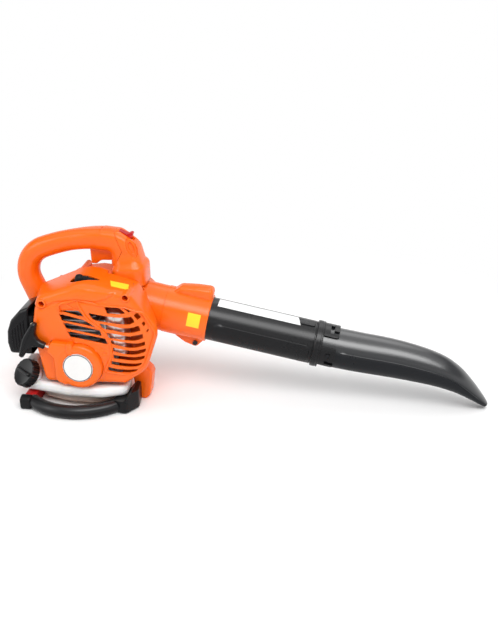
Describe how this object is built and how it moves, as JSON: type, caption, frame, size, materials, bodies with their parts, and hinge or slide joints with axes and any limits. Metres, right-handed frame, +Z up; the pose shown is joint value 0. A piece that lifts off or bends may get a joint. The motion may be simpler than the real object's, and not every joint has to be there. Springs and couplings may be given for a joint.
{
  "type": "handheld leaf blower",
  "caption": "Handheld petrol leaf blower with fan case, engine, pull starter, fuel tank, hand grip, pipe and curved nozzle.",
  "frame": {"origin": "on the ground, under the middle of the whole blower's box", "axes": "+X towards the nozzle, +Y from the engine side to the fan side, +Z up"},
  "size_m": [0.8582, 0.2098, 0.3092],
  "materials": {
    "orange_shell": "satin moulded",
    "black_case": "fine texture",
    "nozzle_black": "semi-gloss",
    "tank_white": "translucent moulded",
    "black_rubber": "matt",
    "red_plastic": "satin moulded",
    "fan_plastic": "moulded",
    "cast_alloy": "cast",
    "steel": "machined",
    "muffler_steel": "pressed",
    "coil_black": "potted",
    "foam": "open foam",
    "ivory_plastic": "moulded",
    "rope": "braided",
    "badge_white": "satin"
  },
  "bodies": {
    "body": {"badge": "badge_white", "bearing_far": "steel", "bearing_near": "steel", "blow_pipe": "black_case", "carburettor": "cast_alloy", "case_screws": "steel", "clamp_screw": "steel", "cover_screws": "steel", "crankcase": "cast_alloy", "cylinder": "cast_alloy", "engine_cover": "orange_shell", "engine_screws": "steel", "fan_case_inner": "orange_shell", "fan_case_outer": "orange_shell", "filter_body": "black_case", "filter_foam": "foam", "front_foot": "orange_shell", "fuel_filter": "foam", "fuel_line": "black_rubber", "fuel_tank": "tank_white", "handle_far": "orange_shell", "handle_near": "orange_shell", "handle_tower": "orange_shell", "heat_shield": "muffler_steel", "ignition_coil": "coil_black", "insulator": "black_rubber", "intake_guard": "black_case", "muffler": "muffler_steel", "outlet_sleeve": "orange_shell", "piston": "steel", "plug_boot": "black_rubber", "rear_bush": "black_rubber", "rear_lug": "red_plastic", "recoil_spring": "steel", "spark_plug": "steel", "stand_boot": "black_case", "stand_tube": "black_rubber", "starter_case": "orange_shell", "trigger_pin": "steel"},
    "crank": {"crankshaft": "steel", "impeller": "fan_plastic", "fan_nut": "steel", "flywheel": "cast_alloy", "starter_cup": "fan_plastic"},
    "pull_grip": {"starter_grip": "black_rubber", "starter_rope": "rope"},
    "reel": {"starter_reel": "fan_plastic", "rope_winding": "rope"},
    "trigger": {"trigger": "orange_shell"},
    "throttle": {"throttle_lever": "steel"},
    "switch": {"stop_switch": "red_plastic"},
    "choke": {"choke_lever": "ivory_plastic"},
    "primer": {"primer_bulb": "black_rubber"},
    "filter_lid": {"filter_cover": "black_case"},
    "cap_ring": {"cap_gasket": "black_rubber"},
    "cap": {"fuel_cap": "black_case"},
    "nozzle": {"nozzle": "nozzle_black"}
  },
  "joints": [
    {"name": "crank_spin", "type": "hinge", "parent": "body", "child": "crank", "pos_m": [-0.29008, 0.03539, 0.09], "axis": [0, 1, 0], "continuous": true},
    {"name": "starter_pull", "type": "slide", "parent": "body", "child": "pull_grip", "axis": [-0.9511, 0, 0.309], "range_m": [0, 0.6], "stiffness_N_per_m": 15, "springref_m": -0.3},
    {"name": "reel_turn", "type": "hinge", "parent": "body", "child": "reel", "pos_m": [-0.29008, 0.03539, 0.09], "axis": [0, 1, 0], "range_deg": [-2008.7, 5]},
    {"name": "trigger_squeeze", "type": "hinge", "parent": "body", "child": "trigger", "pos_m": [-0.24408, 0.04539, 0.267], "axis": [0, 1, 0], "range_deg": [0, 15], "stiffness_Nm_per_rad": 0.3, "springref_deg": -14.32},
    {"name": "carb_throttle", "type": "hinge", "parent": "body", "child": "throttle", "pos_m": [-0.35408, -0.01861, 0.146], "axis": [0, 1, 0], "range_deg": [-48, 2]},
    {"name": "switch_slide", "type": "slide", "parent": "body", "child": "switch", "axis": [0.9135, 0, -0.4067], "range_m": [0, 0.005]},
    {"name": "choke_turn", "type": "hinge", "parent": "body", "child": "choke", "pos_m": [-0.37258, -0.05021, 0.158], "axis": [0, 1, 0], "range_deg": [0, 30]},
    {"name": "primer_press", "type": "slide", "parent": "body", "child": "primer", "axis": [0, 0, 1], "range_m": [0, 0.003], "stiffness_N_per_m": 300},
    {"name": "filter_cover_pull", "type": "slide", "parent": "body", "child": "filter_lid", "axis": [-1, 0, 0], "range_m": [0, 0.045]},
    {"name": "cap_rise", "type": "slide", "parent": "body", "child": "cap_ring", "axis": [-0.5014, -0.6217, 0.6017], "range_m": [0, 0.008]},
    {"name": "cap_turn", "type": "hinge", "parent": "cap_ring", "child": "cap", "pos_m": [-0.39608, -0.04561, 0.058], "axis": [-0.5014, -0.6217, 0.6017], "range_deg": [-1, 725]},
    {"name": "nozzle_twist", "type": "hinge", "parent": "body", "child": "nozzle", "pos_m": [0.14095, 0.04539, 0.10522], "axis": [0.9826, 0, -0.1857], "range_deg": [0, 25]}
  ],
  "couplings": [
    {"joint": "reel_turn", "follows": "starter_pull", "rad_per_m": -58.139},
    {"joint": "carb_throttle", "follows": "trigger_squeeze", "ratio": -3},
    {"joint": "cap_turn", "follows": "cap_rise", "rad_per_m": 1570.8}
  ]
}
